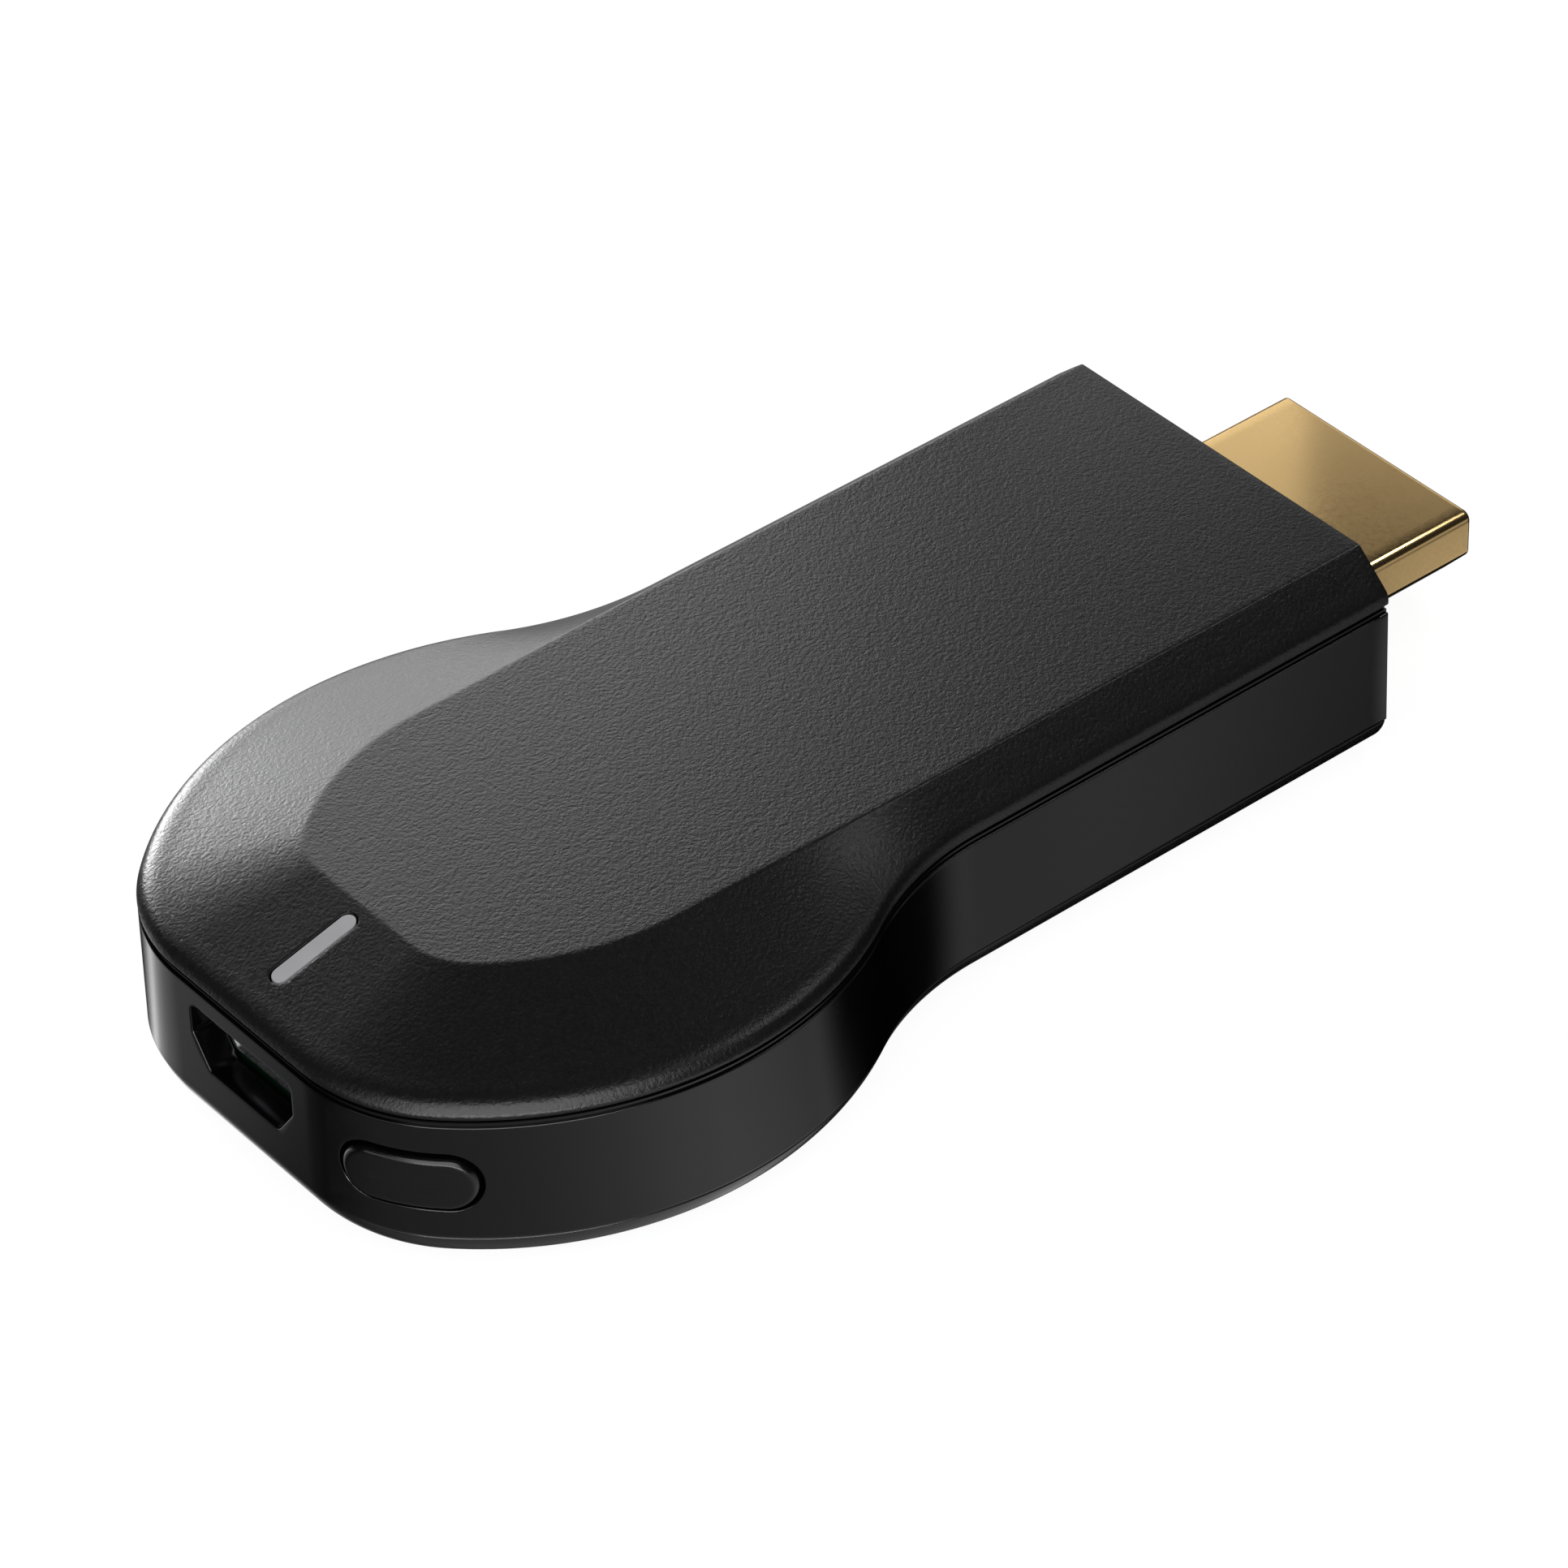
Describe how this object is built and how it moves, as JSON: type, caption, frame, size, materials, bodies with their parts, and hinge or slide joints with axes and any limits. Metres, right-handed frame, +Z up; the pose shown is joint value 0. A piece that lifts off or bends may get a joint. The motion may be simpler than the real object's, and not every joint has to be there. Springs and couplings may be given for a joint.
{
  "type": "wireless display dongle",
  "caption": "Keyhole-shaped wireless display dongle with a gold display plug on its tail, a power socket and a sprung button in its head, and a light pipe in its sloped cover",
  "frame": {"origin": "under the middle of the whole stick, plug included, on the surface it lies on", "axes": "+X from the round head to the plug, +Y across, +Z up out of the matte cover"},
  "size_m": [0.0722, 0.035, 0.012],
  "materials": {
    "cover_matte": "fine matte grain, dark charcoal",
    "band_satin": "smooth satin black",
    "base_satin": "smooth satin black",
    "light_guide": "cloudy pale grey, polished",
    "button_satin": "smooth satin black",
    "gold_plate": "bright gold plating",
    "contact_gold": "gold plating",
    "black_plastic": "moulded black",
    "socket_steel": "tinned sheet steel",
    "board_green": "green solder mask",
    "screw_steel": "zinc plated",
    "plunger_plastic": "natural white",
    "lamp_resin": "clear resin",
    "chip_resin": "moulded epoxy",
    "pad_silicone": "soft silicone pad",
    "sink_aluminium": "plain extruded",
    "ferrite": "moulded powder",
    "capacitor_ceramic": "fired ceramic"
  },
  "bodies": {
    "root": {"top_cover": "cover_matte", "side_frame": "band_satin", "bottom_cover": "base_satin", "light_pipe": "light_guide", "plug_shell": "gold_plate", "plug_insulator": "black_plastic", "plug_contacts_upper": "contact_gold", "plug_contacts_lower": "contact_gold", "usb_shell": "socket_steel", "usb_tongue": "black_plastic", "usb_contacts": "contact_gold", "main_board": "board_green", "board_screws": "screw_steel", "switch_body": "black_plastic", "switch_dome": "socket_steel", "switch_terminals": "socket_steel", "status_lamp": "lamp_resin", "processor": "chip_resin", "memory_chip": "chip_resin", "flash_chip": "chip_resin", "flash_leads": "socket_steel", "radio_chip": "chip_resin", "radio_shield": "socket_steel", "thermal_pad": "pad_silicone", "heat_sink": "sink_aluminium", "power_coils": "ferrite", "power_regulators": "chip_resin", "crystal": "socket_steel", "capacitors": "capacitor_ceramic", "line_guards": "chip_resin", "antenna": "socket_steel"},
    "button": {"button_cap": "button_satin"},
    "plunger": {"switch_plunger": "plunger_plastic"}
  },
  "joints": [
    {"name": "button_press", "type": "slide", "parent": "root", "child": "button", "axis": [0.8192, 0.5736, 0], "range_m": [0, 0.0003], "stiffness_N_per_m": 500},
    {"name": "plunger_press", "type": "slide", "parent": "root", "child": "plunger", "axis": [0.8192, 0.5736, 0], "range_m": [0, 0.0003]}
  ],
  "couplings": [
    {"joint": "plunger_press", "follows": "button_press", "ratio": 1}
  ]
}
